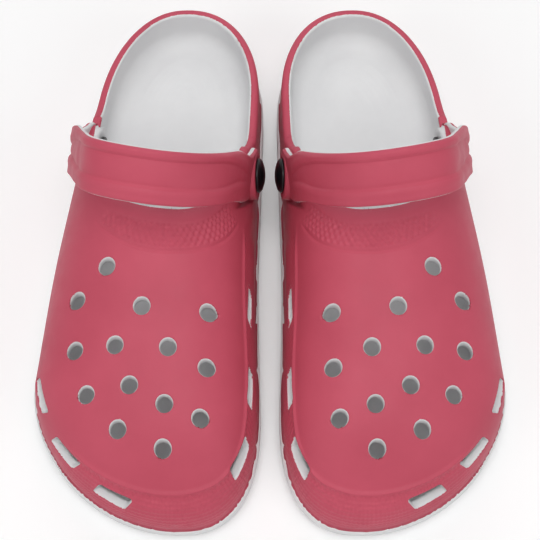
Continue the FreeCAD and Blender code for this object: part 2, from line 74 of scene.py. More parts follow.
# ---- openings: sideways from the spine and back from the ball line ----
VENT_RADIUS, VENT_CLEAR = 3.85, 12.0
VENTS = [(-28.4, 42.9), (-43.6, 29.6), (-11.9, 23.7), (19.3, 21.8), (-25.1, 6.7), (-44.9, 6.2), (0.0, 5.2),
         (17.8, -3.3), (-18.6, -11.5), (-39.5, -14.5), (-2.3, -20.1), (14.2, -26.1), (-24.6, -30.7),
         (-3.7, -39.3)]
SLOT_LENGTH, SLOT_HEIGHT, SLOT_SLANT, SLOT_DEPTH = 17.5, 7.0, 2.6, 16.0
SLOT_PITCH = math.radians(14.0)
SLOTS = [(1, 35.4, 43.0), (1, -5.6, 38.5), (1, -39.8, 35.0), (-1, -9.0, 37.0), (-1, -37.0, 34.5),
         (-1, -57.6, 31.0)]

# ---- rounding of edges ----
WHITE_AT_OPENINGS = 0.35
RIM_OUTER_ROUND, RIM_INNER_ROUND, OPENING_ROUND, SLOT_CORNER, SOLE_ROUND = 2.3, 1.3, 0.8, 1.2, 4.0

# ---- relief: heights, widths and pitches ----
WELT_HEIGHT, WELT_WIDTH = 0.95, 1.15
TOOTH_HEIGHT, TOOTH_PITCH, TOOTH_OUT, TOOTH_WIDTH = 0.55, 2.5, 1.7, 0.8
BAND_SINK, RIB_HEIGHT, RIB_PITCH, SCALE_HEIGHT, SCALE_PITCH, SCALE_ROWS = 0.35, 0.26, 3.2, 0.30, 3.4, 5.0
GROOVE_DEPTH, GROOVE_WIDTH = 0.55, 0.9
LOZENGE_HEIGHT, LOZENGE_PITCH, LOZENGE_ROWS = 0.45, 3.6, 5.0
LIP_CREASE_DEPTH, LIP_CREASE_BELOW, LIP_CREASE_WIDTH = 0.3, 3.4, 0.8
HEEL_RIDGE_HEIGHT, HEEL_RIDGE_WIDTH, HEEL_RIDGE_FIRST, HEEL_RIDGE_PITCH = 0.4, 1.6, 13.0, 5.8
CHANNEL_DEPTH, CHANNEL_PITCH = 1.3, 13.0
PANEL_LOW, PANEL_HIGH, PANEL_SINK = -4.6, 8.0, 0.8
PANEL_CREASE, PANEL_CREASE_WIDTH, BORDER_ROLL, BORDER_ROLL_WIDTH = 0.55, 0.7, 0.35, 1.7
FOAM_DROP = 0.85
WELT = [(38.9, -31.8, 62.0), (39.0, -49.2, 58.0), (39.1, -69.1, 54.0), (41.0, -88.6, 50.0),
        (42.0, -105.8, 46.0), (41.4, -126.0, 43.0), (40.0, -138.4, 41.0), (38.0, -146.8, 40.0),
        (34.0, -154.4, 39.0), (26.5, -161.4, 38.5), (14.3, -165.7, 38.0), (2.6, -166.6, 38.0),
        (-9.7, -164.4, 38.0), (-22.2, -159.4, 38.0), (-35.0, -151.7, 38.5), (-43.8, -142.2, 39.0),
        (-48.5, -133.0, 40.0)]
THROAT_GROOVE = [(-33.0, -42.0, 78.0), (-27.5, -48.5, 80.0), (-21.2, -53.7, 81.3), (-13.3, -57.8, 81.6),
                 (-2.8, -60.4, 81.6), (7.6, -60.8, 81.3), (17.7, -59.0, 79.6), (27.6, -53.5, 74.9),
                 (33.2, -46.0, 70.2), (37.0, -36.5, 65.6)]


def smooth_through(*points):
    """A smooth function through (place, value) points, level beyond both ends."""
    xs = np.array([p[0] for p in points], float)
    ys = np.array([p[1] for p in points], float)
    run = np.diff(xs)
    gaps = np.diff(ys) / run
    slopes = np.concatenate([[gaps[0]], (gaps[:-1] * run[1:] + gaps[1:] * run[:-1]) / (run[1:] + run[:-1]),
                             [gaps[-1]]])

    def value(x):
        x = np.clip(x, xs[0], xs[-1])
        i = np.clip(np.searchsorted(xs, x, side="right") - 1, 0, len(xs) - 2)
        t = (x - xs[i]) / run[i]
        start = ys[i] * (1 + 2 * t) * (1 - t) ** 2 + slopes[i] * run[i] * t * (1 - t) ** 2
        return start + ys[i + 1] * t * t * (3 - 2 * t) + slopes[i + 1] * run[i] * t * t * (t - 1)

    return value


spine = smooth_through((Y_TOE, 6.4), (Y_BALL, 3.9), (Y_INSTEP, 1.9), (0, 0.9), (Y_SEAT, 2.6), (Y_HEEL, 5.9))
lateral_width = smooth_through((Y_BALL, 70.0), (Y_INSTEP, 60.5), (0, 49.3), (Y_SEAT, 42.8), (Y_HEEL, 38.0))
medial_width = smooth_through((Y_BALL, 41.2), (Y_INSTEP, 42.0), (0, 44.2), (Y_SEAT, 43.6), (Y_HEEL, 42.0))
crown_line = smooth_through((Y_TOE, 24.0), (Y_TOE + 2.3, 29.9), (Y_TOE + 11.5, 38.0), (Y_TOE + 34.0, 53.0),
                            (Y_BALL, 65.5), (Y_INSTEP, 85.5), (0, 107.0), (Y_SEAT, 120.0))


def sole_top(y):
    return SOLE_TOE_HEIGHT + SOLE_SLOPE * (y - Y_TOE)


def footbed(y):
    return FOOTBED_AT_BALL + FOOTBED_SLOPE * (y - Y_BALL)


def crown(y, inset):
    return crown_line(y - inset) - CROWN_DROP * inset


def half_width(side, y, inset):
    """Distance from the spine to the base outline; side is 1 for medial and -1 for lateral."""
    y = np.asarray(y, float)
    width = (medial_width(y) if side > 0 else lateral_width(y)) - inset
    power = MEDIAL_TOE_POWER if side > 0 else LATERAL_TOE_POWER
    toe_run = np.clip((Y_BALL - y) / (Y_BALL - Y_TOE - inset), 0, 1)
    heel_run = np.clip((y - Y_SEAT) / (Y_HEEL - inset - Y_SEAT), 0, 1)
    return width * (1 - toe_run ** power) ** (1 / power) * (1 - heel_run ** HEEL_POWER) ** (1 / HEEL_POWER)


# ---------------------------------------------------------------- distance fields

def surface_tree(points, closed_rows):
    """Search tree of a grid of points (rows, columns, 3); closed_rows joins each row's ends."""
    rows, columns = points.shape[:2]
    faces = []
    for i in range(rows - 1):
        for j in range(columns - 1 + int(closed_rows)):
            k = (j + 1) % columns
            faces.append((i * columns + j, i * columns + k, (i + 1) * columns + k, (i + 1) * columns + j))
    return BVHTree.FromPolygons([tuple(p) for p in points.reshape(-1, 3)], faces)


def form_grid(inset, stations=300, around=140):
    """The upper's form set in by inset, as cross-sections from toe to heel."""
    share = (1 - np.cos(np.pi * np.arange(stations + 1) / stations)) / 2
    ys = Y_TOE + inset + (Y_HEEL - Y_TOE - 2 * inset) * share
    turn = np.linspace(0, np.pi, around + 1)
    across = np.sign(np.cos(turn)) * np.abs(np.cos(turn)) ** (2 / SECTION_POWER)
    rise = np.sin(turn) ** (2 / SECTION_POWER)
    skirt = np.array([12.0, 6.0])
    grid = []
    for y in ys:
        base = float(sole_top(y))
        height = float(crown(y, inset)) - base
        medial, lateral = float(half_width(1, y, inset)), float(half_width(-1, y, inset))
        x = spine(y) + np.where(across > 0, medial, lateral) * across
        z = base + height * rise
        x = np.concatenate([[x[0], x[0]], x, [x[-1], x[-1]]])
        z = np.concatenate([base - skirt, z, base - skirt[::-1]])
        grid.append(np.stack([x, np.full(len(x), y), z], 1))
    return np.array(grid)


def signed_tree(tree, points, outward):
    """Signed distance and gradient to a surface; outward(points, nearest) tells which side is outside."""
    distance = np.empty(len(points))
    near = np.empty((len(points), 3))
    for i, p in enumerate(points):
        hit = tree.find_nearest(p)
        near[i] = hit[0]
        distance[i] = hit[3]
    away = points - near
    sign = np.where(outward(points, near, away), 1.0, -1.0)
    gradient = away / np.maximum(distance, 1e-6)[:, None] * sign[:, None]
    return distance * sign, gradient


def inside_form(points, inset):
    """True inside the form: under its crown and between its walls."""
    x, y, z = points.T
    base = sole_top(y)
    height = crown(y, inset) - base
    rise = np.clip((z - base) / height, 0, None)
    dx = x - spine(y)
    width = np.where(dx > 0, half_width(1, y, inset), half_width(-1, y, inset))
    ends = (y > Y_TOE + inset) & (y < Y_HEEL - inset)
    room = np.maximum(1 - rise ** SECTION_POWER, 0) ** (1 / SECTION_POWER)
    return ends & (rise < 1) & (np.abs(dx) < width * room)


def form_field(tree, inset, points):
    return signed_tree(tree, points, lambda p, near, away: ~inside_form(p, inset))


def numeric(function, points, step=0.02):
    """A field given as a plain function, with its gradient by differences."""
    gradient = np.empty_like(points)
    for axis in range(3):
        shift = np.zeros(3)
        shift[axis] = step
        gradient[:, axis] = (function(points + shift) - function(points - shift)) / (2 * step)
    return function(points), gradient


def negative(field):
    return -field[0], -field[1]


def both(a, b, radius=0.0):
    """Intersection of two fields, its edge rounded."""
    if radius <= 0:
        pick = a[0] > b[0]
        return np.where(pick, a[0], b[0]), np.where(pick[:, None], a[1], b[1])
    u = np.maximum(a[0] + radius, 0)
    v = np.maximum(b[0] + radius, 0)
    length = np.sqrt(u * u + v * v)
    top = np.maximum(a[0], b[0])
    value = np.minimum(top, -radius) + length
    safe = np.maximum(length, 1e-9)
    blended = (u[:, None] * a[1] + v[:, None] * b[1]) / safe[:, None]
    plain = np.where((a[0] > b[0])[:, None], a[1], b[1])
    return value, np.where((length > 1e-6)[:, None], blended, plain)


def either(a, b, radius=0.0):
    return negative(both(negative(a), negative(b), radius))


def bottom_line(y):
    front, back = Y_TOE - 2 * SOLE_LEDGE, Y_HEEL + 2 * SOLE_LEDGE
    toe = np.clip((y - front) / TOE_SPRING_LENGTH, 0, 1)
    heel = np.clip((y - back + HEEL_SPRING_LENGTH) / HEEL_SPRING_LENGTH, 0, 1)
    return TOE_SPRING_HEIGHT * (1 - toe) ** 2 + HEEL_SPRING_HEIGHT * heel ** 2


def to_hinge_frame(points):
    """Coordinates along the hinge line, back from it and above it."""
    x, y, z = points.T
    c, s = math.cos(HINGE_YAW), math.sin(HINGE_YAW)
    return x * c + y * s, -x * s + y * c, z - HINGE_HEIGHT


COLLAR = [(-59.0, 94.5), (-43.0, 87.0), (-28.0, 80.9), (-12.9, 74.6), (0.0, 72.4), (9.9, 68.2), (16.0, 60.0),
          (27.0, 52.1), (41.0, 50.5), (75.8, 51.1), (117.0, 53.0)]


def smooth_line(points, step):
    """Points along a smooth line through the given ones, about step apart."""
    points = np.array(points, float)
    padded = np.vstack([2 * points[0] - points[1], points, 2 * points[-1] - points[-2]])
    line = []
    for i in range(1, len(padded) - 2):
        a, b, c, d = padded[i - 1:i + 3]
        count = max(2, int(np.linalg.norm(c - b) / step))
        for t in np.arange(count) / count:
            line.append(0.5 * (2 * b + (c - a) * t + (2 * a - 5 * b + 4 * c - d) * t * t
                               + (3 * b - a - 3 * c + d) * t ** 3))
    line.append(points[-1])
    return np.array(line)


def collar_tree():
    line = smooth_line(COLLAR, 1.0)
    line = np.vstack([line[0] + (line[0] - line[1]) * 60, line, line[-1] + [60.0, 1.0]])
    c, s = math.cos(HINGE_YAW), math.sin(HINGE_YAW)
    rows = []
    for along in (-160.0, 160.0):
        rows.append(np.stack([along * c - line[:, 0] * s, along * s + line[:, 0] * c, line[:, 1]], 1))
    return surface_tree(np.array(rows), False), line


COLLAR_TREE, COLLAR_LINE = collar_tree()
OUTER_TREE = surface_tree(form_grid(0.0), False)
INNER_TREE = surface_tree(form_grid(FILM + WALL), False)


def collar_field(points):
    """Positive above the collar line."""
    def above(p, near, away):
        back = to_hinge_frame(p)[1]
        height = np.interp(back, COLLAR_LINE[:, 0], COLLAR_LINE[:, 1])
        return p[:, 2] > height
    return signed_tree(COLLAR_TREE, points, above)


def outline_tree():
    share = (1 - np.cos(np.pi * np.arange(401) / 400)) / 2
    ys = Y_TOE + (Y_HEEL - Y_TOE) * share
    lateral = np.stack([spine(ys) - half_width(-1, ys, 0), ys], 1)
    medial = np.stack([spine(ys) + half_width(1, ys, 0), ys], 1)
    loop = np.vstack([lateral, medial[::-1][1:-1]])
    rows = [np.column_stack([loop, np.full(len(loop), z)]) for z in (-30.0, 60.0)]
    return surface_tree(np.array(rows), True)


OUTLINE_TREE = outline_tree()


def sole_field(points):
    def outside(p, near, away):
        dx = p[:, 0] - spine(p[:, 1])
        width = np.where(dx > 0, half_width(1, p[:, 1], 0), half_width(-1, p[:, 1], 0))
        return (p[:, 1] < Y_TOE) | (p[:, 1] > Y_HEEL) | (np.abs(dx) > width)
    flat = points.copy()
    flat[:, 2] = 0
    side = signed_tree(OUTLINE_TREE, flat, outside)
    side = (side[0] - SOLE_LEDGE, side[1])
    top = numeric(lambda p: p[:, 2] - sole_top(p[:, 1]), points)
    bottom = numeric(lambda p: bottom_line(p[:, 1]) - p[:, 2], points)
    return both(both(side, top, 0.7), bottom, SOLE_ROUND)


def seat_room(points):
    """Room swept by the strap beside the ears: negative inside it."""
    along, back, up = to_hinge_frame(points)
    out = np.hypot(back, up)
    height = STRAP_REACH - STRAP_THICKNESS / 2 - SEAT_GAP - LOBE_RADIUS
    share = np.clip((out - LOBE_RADIUS) / height, 0, SEAT_ARCH_END)
    narrowing = 1 - share ** ARCH_POWER
    reach = SEAT_FACE * narrowing ** (1 / ARCH_POWER)
    slope = SEAT_FACE / height * share ** (ARCH_POWER - 1) * narrowing ** (1 / ARCH_POWER - 1)
    arch = (reach - np.abs(along)) / np.sqrt(1 + slope ** 2)
    distances = []
    sides = []
    for direction, normal in (((-math.sin(STRAP_LEAN), math.cos(STRAP_LEAN)),
                               (-math.cos(STRAP_LEAN), -math.sin(STRAP_LEAN))),
                              ((math.sin(STRAP_BACK), math.cos(STRAP_BACK)),
                               (math.cos(STRAP_BACK), -math.sin(STRAP_BACK)))):
        ahead = back * direction[0] + up * direction[1]
        off = back * normal[0] + up * normal[1]
        sides.append(off)
        distances.append(np.where(ahead > 0, np.abs(off), out))
    inside = (sides[0] <= 0) & (sides[1] <= 0)
    wedge = np.where(inside, np.maximum(sides[0], sides[1]), np.minimum(distances[0], distances[1]))
    outline = wedge - LOBE_RADIUS - SEAT_MARGIN
    u = np.maximum(arch + SEAT_CORNER, 0)
    v = np.maximum(outline + SEAT_CORNER, 0)
    return np.minimum(np.maximum(arch, outline), -SEAT_CORNER) + np.hypot(u, v)


def rod(points, radius, start, end):
    """A cylinder on the hinge line at both ears."""
    along, back, up = to_hinge_frame(points)
    ring = np.hypot(back, up) - radius
    ends = np.maximum(start - np.abs(along), np.abs(along) - end)
    return np.maximum(ring, ends)


def vents_field(points):
    x, y, z = points.T
    best = np.full(len(points), 1e3)
    for aside, behind in VENTS:
        at = Y_BALL + behind
        ring = np.hypot(x - spine(at) - aside, y - at) - VENT_RADIUS
        best = np.minimum(best, np.maximum(ring, footbed(at) + VENT_CLEAR - z))
    return best


def surface_edge(side, y, height):
    base = sole_top(y)
    rise = (height - base) / (crown(y, 0) - base)
    share = (1 - rise ** SECTION_POWER) ** (1 / SECTION_POWER)
    return np.array([spine(y) + side * half_width(side, y, 0) * share, y, height], float)


def slot_frames():
    frames = []
    for side, behind, height in SLOTS:
        y = Y_BALL + behind
        along = surface_edge(side, y + 1, height) - surface_edge(side, y - 1, height)
        along /= np.linalg.norm(along)
        inward = np.array([-along[1], along[0], 0.0])
        if inward[0] * side > 0:
            inward = -inward
            along = -along
        pitched_in = inward * math.cos(SLOT_PITCH) - np.array([0, 0, math.sin(SLOT_PITCH)])
        pitched_up = inward * math.sin(SLOT_PITCH) + np.array([0, 0, math.cos(SLOT_PITCH)])
        frames.append((surface_edge(side, y, height), along, pitched_in, pitched_up))
    return frames


SLOT_FRAMES = slot_frames()


def slots_field(points):
    best = np.full(len(points), 1e3)
    for centre, along, inward, up in SLOT_FRAMES:
        p = points - centre
        rise = p @ up
        run = p @ along - rise * SLOT_SLANT / SLOT_HEIGHT
        deep = p @ inward
        a = np.abs(run) - SLOT_LENGTH / 2
        b = np.abs(rise) - SLOT_HEIGHT / 2
        corner = SLOT_CORNER
        flat = np.minimum(np.maximum(a, b), -corner) + np.hypot(np.maximum(a + corner, 0),
                                                                np.maximum(b + corner, 0))
        best = np.minimum(best, np.maximum(flat, np.maximum(deep - SLOT_DEPTH, -8.0 - deep)))
    return best


def clog_field(points):
    """The clog's foam and film together; also the fields that its colours and relief are set by."""
    outer = form_field(OUTER_TREE, 0.0, points)
    collar = collar_field(points)
    body = both(either(outer, sole_field(points)), collar, RIM_OUTER_ROUND)
    walls = form_field(INNER_TREE, FILM + WALL, points)
    floor = numeric(lambda p: footbed(p[:, 1]) - p[:, 2], points)
    room = both(walls, floor, FOOTBED_CORNER)
    ears = numeric(lambda p: rod(p, STUD_SEAT_RADIUS, INNER_FACE, 2 * SEAT_FACE), points)
    room = both(room, negative(ears), 0.8)
    body = both(body, negative(room), RIM_INNER_ROUND)
    seat = numeric(seat_room, points)
    body = both(body, negative(seat), 0.9)
    studs = numeric(lambda p: rod(p, STUD_CLEAR_RADIUS, 13.0, INNER_FACE), points)
    body = both(body, negative(studs), 0.4)
    hole = numeric(lambda p: rod(p, BARREL_HOLE, 0.0, SEAT_FACE + 8.0), points)
    body = both(body, negative(hole))
    body = both(body, negative(numeric(vents_field, points)), OPENING_ROUND)
    body = both(body, negative(numeric(slots_field, points)), OPENING_ROUND)
    return body, {"outer": outer[0], "collar": collar[0], "seat": seat[0], "walls": walls[0]}


# ---------------------------------------------------------------- mesh work

def triangles_of(mesh):
    mesh.calc_loop_triangles()
    points = np.empty(len(mesh.vertices) * 3)
    mesh.vertices.foreach_get("co", points)
    faces = np.empty(len(mesh.loop_triangles) * 3, np.int32)
    mesh.loop_triangles.foreach_get("vertices", faces)
    return points.reshape(-1, 3), faces.reshape(-1, 3)


def unique_edges(faces):
    edges = np.vstack([faces[:, [0, 1]], faces[:, [1, 2]], faces[:, [2, 0]]])
    ordered = np.sort(edges, axis=1)
    unique, inverse = np.unique(ordered, axis=0, return_inverse=True)
    return unique, inverse.reshape(3, -1).T


def vertex_normals(points, faces):
    a, b, c = points[faces[:, 0]], points[faces[:, 1]], points[faces[:, 2]]
    cross = np.cross(b - a, c - a)
    normals = np.zeros_like(points)
    for k in range(3):
        np.add.at(normals, faces[:, k], cross)
    return normals / np.maximum(np.linalg.norm(normals, axis=1), 1e-12)[:, None]


def relax(points, faces, amount):
    """Even the triangles out, moving points only along the surface."""
    edges, _ = unique_edges(faces)
    total = np.zeros_like(points)
    count = np.zeros(len(points))
    for a, b in ((0, 1), (1, 0)):
        np.add.at(total, edges[:, a], points[edges[:, b]])
        np.add.at(count, edges[:, a], 1)
    shift = total / np.maximum(count, 1)[:, None] - points
    normals = vertex_normals(points, faces)
    shift -= normals * np.sum(shift * normals, axis=1)[:, None]
    return points + amount * shift


def onto_surface(points, steps):
    for _ in range(steps):
        (value, gradient), extra = clog_field(points)
        size = np.maximum(np.sum(gradient ** 2, axis=1), 0.2)
        move = -value / size
        points = points + np.clip(move, -1.5, 1.5)[:, None] * gradient
    return points, extra


def refine(points, faces, target):
    """Split every edge longer than its target length, once."""
    edges, of_face = unique_edges(faces)
    middle = (points[edges[:, 0]] + points[edges[:, 1]]) / 2
    length = np.linalg.norm(points[edges[:, 0]] - points[edges[:, 1]], axis=1)
    wanted = np.minimum(target[edges[:, 0]], target[edges[:, 1]])
    split = length > 1.35 * wanted
    number = np.full(len(edges), -1)
    number[split] = len(points) + np.arange(split.sum())
    points = np.vstack([points, middle[split]])
    mids = number[of_face]
    marks = mids >= 0
    count = marks.sum(axis=1)
    made = [faces[count == 0]]
    for k in range(3):
        one = (count == 1) & marks[:, k]
        a, b, c = faces[one, k], faces[one, (k + 1) % 3], faces[one, (k + 2) % 3]
        m = mids[one, k]
        made += [np.stack([a, m, c], 1), np.stack([m, b, c], 1)]
        two = (count == 2) & ~marks[:, k]
        a, b, c = faces[two, k], faces[two, (k + 1) % 3], faces[two, (k + 2) % 3]
        mb, mc = mids[two, (k + 1) % 3], mids[two, (k + 2) % 3]
        made += [np.stack([mb, c, mc], 1), np.stack([a, b, mb], 1), np.stack([a, mb, mc], 1)]
    three = count == 3
    a, b, c = faces[three].T
    ab, bc, ca = mids[three].T
    made += [np.stack([a, ab, ca], 1), np.stack([ab, b, bc], 1), np.stack([ca, bc, c], 1),
             np.stack([ab, bc, ca], 1)]
    return points, np.vstack(made)


def keep_positive(points, faces, value):
    """The part of a mesh where value is positive, cut exactly where it is zero."""
    value = np.where(np.abs(value) < 1e-4, 1e-4, value)
    edges, of_face = unique_edges(faces)
    a, b = value[edges[:, 0]], value[edges[:, 1]]
    crossing = (a > 0) != (b > 0)
    t = (a / np.where(crossing, a - b, 1))[:, None]
    cut = points[edges[:, 0]] * (1 - t) + points[edges[:, 1]] * t
    number = np.full(len(edges), -1)
    number[crossing] = len(points) + np.arange(crossing.sum())
    points = np.vstack([points, cut[crossing]])
    mids = number[of_face]
    positive = value[faces] > 0
    count = positive.sum(axis=1)
    made = [faces[count == 3]]
    for k in range(3):
        alone = (count == 1) & positive[:, k]
        a = faces[alone, k]
        made.append(np.stack([a, mids[alone, k], mids[alone, (k + 2) % 3]], 1))
        lost = (count == 2) & ~positive[:, k]
        b, c = faces[lost, (k + 1) % 3], faces[lost, (k + 2) % 3]
        mb, mc = mids[lost, k], mids[lost, (k + 2) % 3]
        made += [np.stack([b, c, mc], 1), np.stack([b, mc, mb], 1)]
    return compact(points, np.vstack(made))


def compact(points, faces, *values):
    used = np.unique(faces)
    index = np.full(len(points), -1)
    index[used] = np.arange(len(used))
    return (points[used], index[faces]) + tuple(v[used] for v in values)


def with_skirt(points, faces, depth):
    """Turn the open border inwards by depth, so that the film shows its thickness."""
    normals = vertex_normals(points, faces)
    directed = np.vstack([faces[:, [0, 1]], faces[:, [1, 2]], faces[:, [2, 0]]])
    key = directed.astype(np.int64)
    forward = key[:, 0] * len(points) + key[:, 1]
    backward = key[:, 1] * len(points) + key[:, 0]
    border = directed[~np.isin(forward, backward)]
    rim = np.unique(border)
    lowered = np.full(len(points), -1)
    lowered[rim] = len(points) + np.arange(len(rim))
    points = np.vstack([points, points[rim] - normals[rim] * depth])
    a, b = border.T
    skirt = np.vstack([np.stack([b, a, lowered[a]], 1), np.stack([b, lowered[a], lowered[b]], 1)])
    return points, np.vstack([faces, skirt])


def line_distance(points, line, normals_of_line):
    """Distance from a line on the surface, the side of it, and how far along it."""
    tangent = np.gradient(line, axis=0)
    tangent /= np.linalg.norm(tangent, axis=1)[:, None]
    sideways = np.cross(normals_of_line, tangent)
    along = np.concatenate([[0], np.cumsum(np.linalg.norm(np.diff(line, axis=0), axis=1))])
    distance = np.empty(len(points))
    side = np.empty(len(points))
    place = np.empty(len(points))
    for start in range(0, len(points), 4000):
        block = points[start:start + 4000]
        gap = np.sum((block[:, None, :] - line[None, :, :]) ** 2, axis=2)
        i = gap.argmin(axis=1)
        offset = block - line[i]
        side[start:start + 4000] = np.sum(offset * sideways[i], axis=1)
        distance[start:start + 4000] = np.sqrt(gap[np.arange(len(block)), i])
        place[start:start + 4000] = along[i] + np.sum(offset * tangent[i], axis=1)
    return distance, side, place, along[-1]


def on_form(line):
    """A drawn line dropped onto the upper's form, with the surface's direction at each point."""
    dropped, normals = [], []
    for p in line:
        near, normal, _, _ = OUTER_TREE.find_nearest(p)
        middle = np.array([spine(near.y), near.y, HINGE_HEIGHT / 2])
        if normal.dot(near - Vector(middle)) < 0:
            normal = -normal
        dropped.append(near)
        normals.append(normal)
    return np.array(dropped, float), np.array(normals, float)


def step_up(value, low, high):
    t = np.clip((value - low) / (high - low), 0, 1)
    return t * t * (3 - 2 * t)


def bell(value, width):
    return np.exp(-(value / width) ** 2)


WELT_LINE, WELT_NORMALS = on_form(smooth_line(WELT, 0.6))
GROOVE_LINE, GROOVE_NORMALS = on_form(smooth_line(THROAT_GROOVE, 0.6))


def film_share(points, extra):
    """Positive where the coloured layer covers the foam."""
    outer, collar, seat = extra["outer"], extra["collar"], extra["seat"]
    share = outer + 0.9
    share = np.maximum(share, np.minimum(outer + FILM + WALL - WHITE_EDGE, collar + 3.2))
    share = np.maximum(share, np.minimum(0.7 - np.abs(seat), outer + 9.0))
    openings = np.minimum(vents_field(points), slots_field(points))
    share = np.minimum(share, openings - WHITE_AT_OPENINGS)
    return np.minimum(share, points[:, 2] - sole_top(points[:, 1]) - 0.05)


def detail_length(points, extra):
    """How long an edge of the film's mesh may be at each point."""
    target = np.full(len(points), 2.2)
    outer = extra["outer"]
    on_top = outer > -0.6
    distance, side, place, length = line_distance(points, WELT_LINE, WELT_NORMALS)
    down = np.sign(side) * distance
    band = on_top & (down > 0) & (down < 26) & (points[:, 2] > sole_top(points[:, 1]) + 2.0)
    target = np.where(band, 0.62, target)
    target = np.where(on_top & (distance < 4.5), 0.45, target)
    distance, side, place, length = line_distance(points, GROOVE_LINE, GROOVE_NORMALS)
    behind = np.sign(side) * distance
    target = np.where(on_top & (behind < 15) & (behind > -1), 0.5, target)
    target = np.where(on_top & (distance < 2.5), 0.5, target)
    openings = np.minimum(vents_field(points), slots_field(points))
    target = np.where(openings < 2.0, np.minimum(target, 0.7), target)
    target = np.where(np.abs(extra["collar"]) < 4.5, np.minimum(target, 0.95), target)
    target = np.where(np.abs(extra["seat"]) < 2.0, np.minimum(target, 0.9), target)
    return target


def film_relief(points, extra):
    """Height of the welt, its teeth, the textured band and the throat's lozenges above the plain upper."""
    outer = step_up(extra["outer"], -0.5, -0.05)
    openings = step_up(np.minimum(vents_field(points), slots_field(points)), 0.6, 2.0)
    distance, side, place, length = line_distance(points, WELT_LINE, WELT_NORMALS)
    down = np.sign(side) * distance
    ends = step_up(place, 2, 22) * step_up(length - place, 4, 30)
    relief = WELT_HEIGHT * bell(down, WELT_WIDTH) * ends
    tooth = 0.5 + 0.5 * np.cos(2 * np.pi * place / TOOTH_PITCH)
    relief += TOOTH_HEIGHT * tooth ** 1.5 * bell(down - TOOTH_OUT, TOOTH_WIDTH) * ends
    relief -= BAND_SINK * step_up(down, 0.4, 2.0) * (1 - step_up(down, 9.0, 26.0)) * ends
    above_sole = points[:, 2] - sole_top(points[:, 1])
    band = step_up(down, 2.6, 3.4) * step_up(above_sole, 4.2, 5.6) * (1 - step_up(down, 22, 30)) * ends
    wall = 1 - step_up(place, 95.0, 135.0)
    slant = np.cos(2 * np.pi * (place - 0.75 * down) / RIB_PITCH)
    one_way = np.cos(2 * np.pi * (place / SCALE_PITCH + down / SCALE_ROWS))
    other_way = np.cos(2 * np.pi * (place / SCALE_PITCH - down / SCALE_ROWS))
    relief += band * (RIB_HEIGHT * slant * wall + SCALE_HEIGHT * one_way * other_way * (1 - wall))
    distance, side, place, length = line_distance(points, GROOVE_LINE, GROOVE_NORMALS)
    behind = np.sign(side) * distance
    ends = step_up(place, 1, 9) * step_up(length - place, 1, 9)
    relief -= GROOVE_DEPTH * bell(behind, GROOVE_WIDTH) * ends
    below = -extra["collar"]
    patch = step_up(behind, 1.6, 2.4) * step_up(below, 2.4, 3.6) * (1 - step_up(behind, 13, 16)) * ends
    lozenges = np.cos(2 * np.pi * place / LOZENGE_PITCH) * np.cos(2 * np.pi * behind / LOZENGE_ROWS)
    relief += LOZENGE_HEIGHT * patch * lozenges
    lip = step_up(behind, 3, 5) * (1 - step_up(behind, 16, 20)) * ends
    relief -= LIP_CREASE_DEPTH * bell(below - LIP_CREASE_BELOW, LIP_CREASE_WIDTH) * lip
    return relief * outer * openings


def remeshed_shell(voxel):
    """The design's shell as an even mesh, in millimetres in the clog's frame."""
    source = frame["nodes"]["right_shell"]
    copy = bpy.data.objects.new("remesh_source", source.data.copy())
    bpy.context.scene.collection.objects.link(copy)
    modifier = copy.modifiers.new("even", "REMESH")
    modifier.mode = "VOXEL"
    modifier.voxel_size = voxel * MM
    modifier.adaptivity = 0
    bpy.context.view_layer.update()
    evaluated = copy.evaluated_get(bpy.context.evaluated_depsgraph_get())
    mesh = bpy.data.meshes.new_from_object(evaluated)
    points, faces = triangles_of(mesh)
    bpy.data.objects.remove(copy)
    bpy.data.meshes.remove(mesh)
    points = points / MM
    points[:, 0] -= HINGE[0]
    points[:, 1] -= HINGE[1]
    return points, faces


def add_mesh(name, points, faces, material):
    mesh = bpy.data.meshes.new(name)
    mesh.from_pydata(points.tolist(), [], faces.tolist())
    mesh.materials.append(material)
    mesh.polygons.foreach_set("use_smooth", [True] * len(mesh.polygons))
    mesh.update()
    made = bpy.data.objects.new(name, mesh)
    bpy.context.scene.collection.objects.link(made)
    return made


def place_pair(name, points, faces, material, body, node):
    """Put one piece on the right clog and its mirror image on the left one."""
    for side, sign in (("right", 1), ("left", -1)):
        placed = points + [HINGE[0], HINGE[1], 0]
        placed = placed * [sign, 1, 1] * MM
        turned = faces if sign > 0 else faces[:, ::-1]
        made = add_mesh(side + "_" + name, placed, turned, material)
        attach(made, side + "_" + body)
        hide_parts(side + "_" + node)


# ---------------------------------------------------------------- materials

def node_material(name):
    material = bpy.data.materials.new(name)
    material.use_nodes = True
    tree = material.node_tree
    tree.nodes.clear()
    output = tree.nodes.new("ShaderNodeOutputMaterial")
    shader = tree.nodes.new("ShaderNodeBsdfPrincipled")
    tree.links.new(shader.outputs["BSDF"], output.inputs["Surface"])
    coordinates = tree.nodes.new("ShaderNodeTexCoord")
    return material, tree, shader, coordinates.outputs["Object"]


def noise(tree, vector, scale, detail, roughness=0.5):
    made = tree.nodes.new("ShaderNodeTexNoise")
    made.inputs["Scale"].default_value = scale
    made.inputs["Detail"].default_value = detail
    made.inputs["Roughness"].default_value = roughness
    tree.links.new(vector, made.inputs["Vector"])
    return made.outputs["Fac"]


def ramp(tree, value, stops):
    made = tree.nodes.new("ShaderNodeValToRGB")
    elements = made.color_ramp.elements
    while len(elements) < len(stops):
        elements.new(0.5)
    for element, (place, colour) in zip(elements, stops):
        element.position = place
        element.color = tuple(colour) + (1.0,)
    tree.links.new(value, made.inputs["Fac"])
    return made.outputs["Color"]


